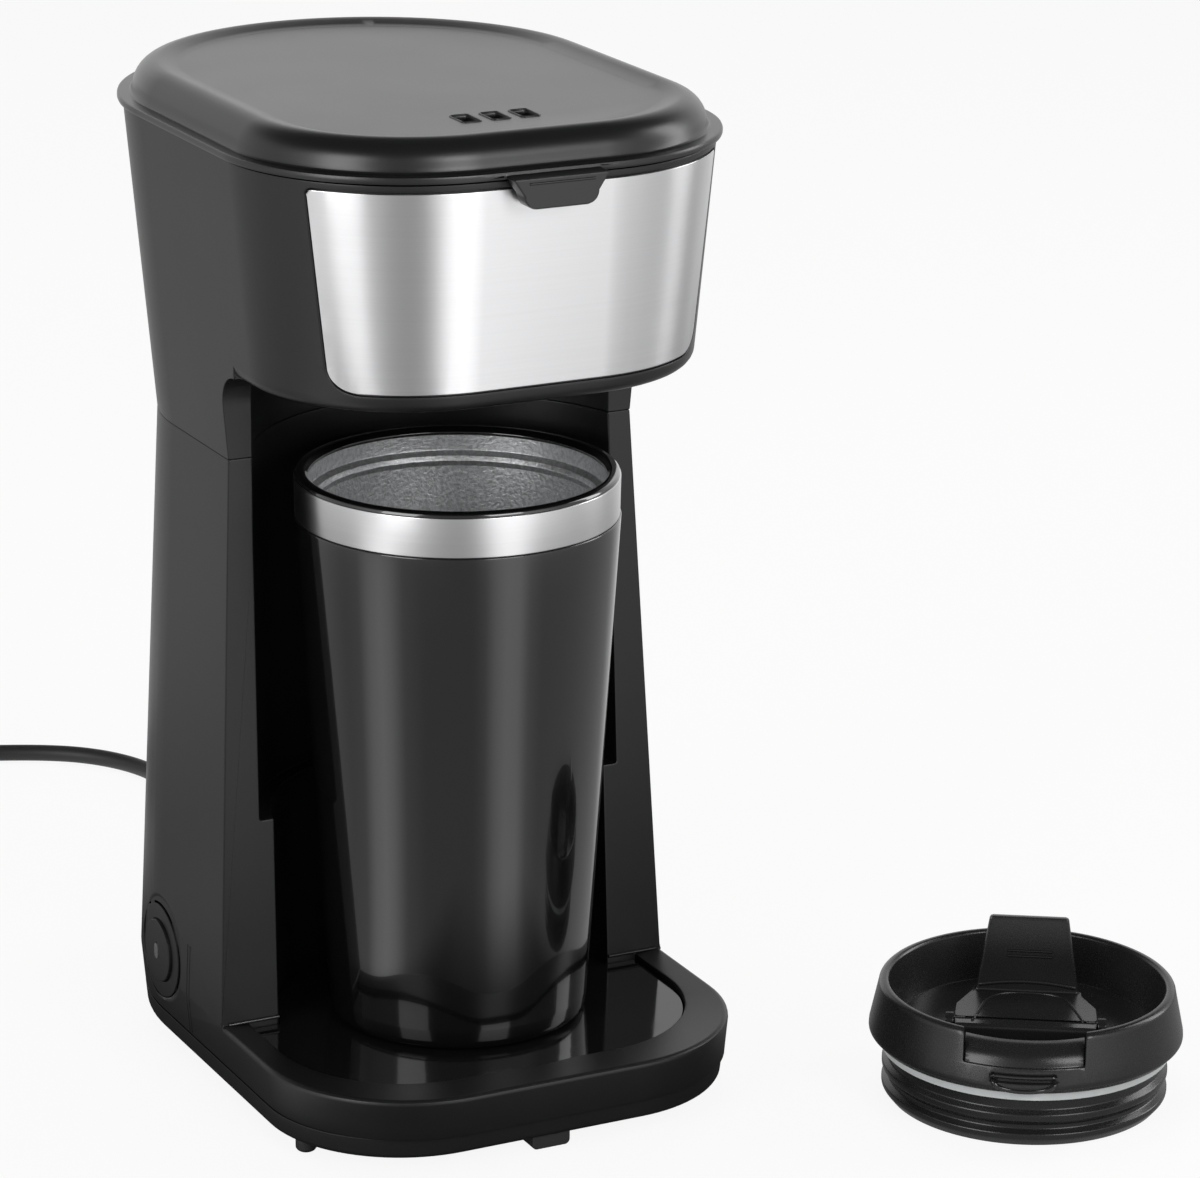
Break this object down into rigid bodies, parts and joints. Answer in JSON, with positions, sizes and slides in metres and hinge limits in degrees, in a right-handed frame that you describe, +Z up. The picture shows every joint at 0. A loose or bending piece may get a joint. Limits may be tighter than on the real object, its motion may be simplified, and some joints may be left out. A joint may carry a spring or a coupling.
{
  "type": "drip coffee maker",
  "caption": "One-cup drip coffee maker with a rounded column, steel front panel, hinged lid, travel mug in its bay and the mug's flip-top lid beside it.",
  "frame": {"origin": "on the surface it stands on, under the middle of the box of the machine, mug and mug lid", "axes": "+Z up, -Y towards the front of the machine, +X to its right"},
  "size_m": [0.3027, 0.4337, 0.27],
  "materials": {
    "body_plastic": "fine matt texture",
    "cover_plastic": "matt",
    "rubber": "matt",
    "gloss_black": "high gloss",
    "brushed_steel": "horizontal brushing",
    "tank_plastic": "translucent grey",
    "silicone": "soft silicone",
    "valve_plastic": "plain",
    "aluminium": "cast",
    "element_steel": "plain",
    "plated_steel": "plated",
    "fuse": "plain",
    "inner_plastic": "matt",
    "lens": "translucent lens",
    "mug_gloss": "high gloss black",
    "satin_steel": "satin",
    "lid_plastic": "satin black",
    "seal": "light grey silicone",
    "mesh_gold": "fine mesh",
    "cord_black": "matt"
  },
  "bodies": {
    "machine": {"body_shell": "body_plastic", "bottom_cover": "cover_plastic", "feet": "rubber", "cup_plate": "gloss_black", "head_shell": "body_plastic", "front_panel": "brushed_steel", "water_tank": "tank_plastic", "check_valve": "valve_plastic", "feed_hose": "silicone", "heater_block": "aluminium", "heater_element": "element_steel", "heater_bracket": "plated_steel", "thermostat": "plated_steel", "thermal_fuse": "fuse", "riser_hose": "silicone", "riser_nozzle": "inner_plastic", "switch_bezel": "body_plastic", "switch_body": "inner_plastic", "cover_screws": "plated_steel", "head_screws": "plated_steel", "bracket_screws": "plated_steel", "cord_bush": "cord_black", "hinge_pin": "plated_steel", "strain_relief": "cord_black", "cord": "cord_black", "cord_coil": "cord_black", "plug_body": "cord_black", "plug_pins": "plated_steel"},
    "top_lid_body": {"top_lid": "body_plastic", "spray_channel": "inner_plastic"},
    "filter": {"filter_basket": "inner_plastic", "filter_frame": "inner_plastic", "filter_mesh": "mesh_gold"},
    "button": {"switch_button": "body_plastic", "switch_lens": "lens"},
    "mug": {"mug_shell": "mug_gloss", "mug_liner": "satin_steel", "mug_band": "brushed_steel", "mug_foot": "rubber"},
    "mug_lid": {"lid_collar": "lid_plastic", "lid_stopper": "lid_plastic", "lid_seal": "seal", "cap_pins": "lid_plastic"},
    "cap": {"flip_cap": "lid_plastic"}
  },
  "joints": [
    {"name": "lid_hinge", "type": "hinge", "parent": "machine", "child": "top_lid_body", "pos_m": [-0.0531, 0.1204, 0.2585], "axis": [-1, 0, 0], "range_deg": [0, 95]},
    {"name": "filter_lift", "type": "slide", "parent": "machine", "child": "filter", "axis": [0, 0, 1], "range_m": [0, 0.068]},
    {"name": "button_press", "type": "slide", "parent": "machine", "child": "button", "axis": [1, 0, 0], "range_m": [0, 0.002], "stiffness_N_per_m": 400, "springref_m": -0.001},
    {"name": "mug_slide", "type": "slide", "parent": "machine", "child": "mug", "axis": [0, -0.989, 0.148], "range_m": [0, 0.115]},
    {"name": "mug_lid_lift", "type": "slide", "parent": "machine", "child": "mug_lid", "axis": [0, 0, 1], "range_m": [0, 0.06]},
    {"name": "cap_hinge", "type": "hinge", "parent": "mug_lid", "child": "cap", "pos_m": [0.07356, -0.08899, 0.023], "axis": [0.8434, -0.5373, 0], "range_deg": [0, 115]}
  ],
  "couplings": [
    {"joint": "filter_lift", "follows": "lid_hinge", "m_per_rad": 0.04}
  ]
}
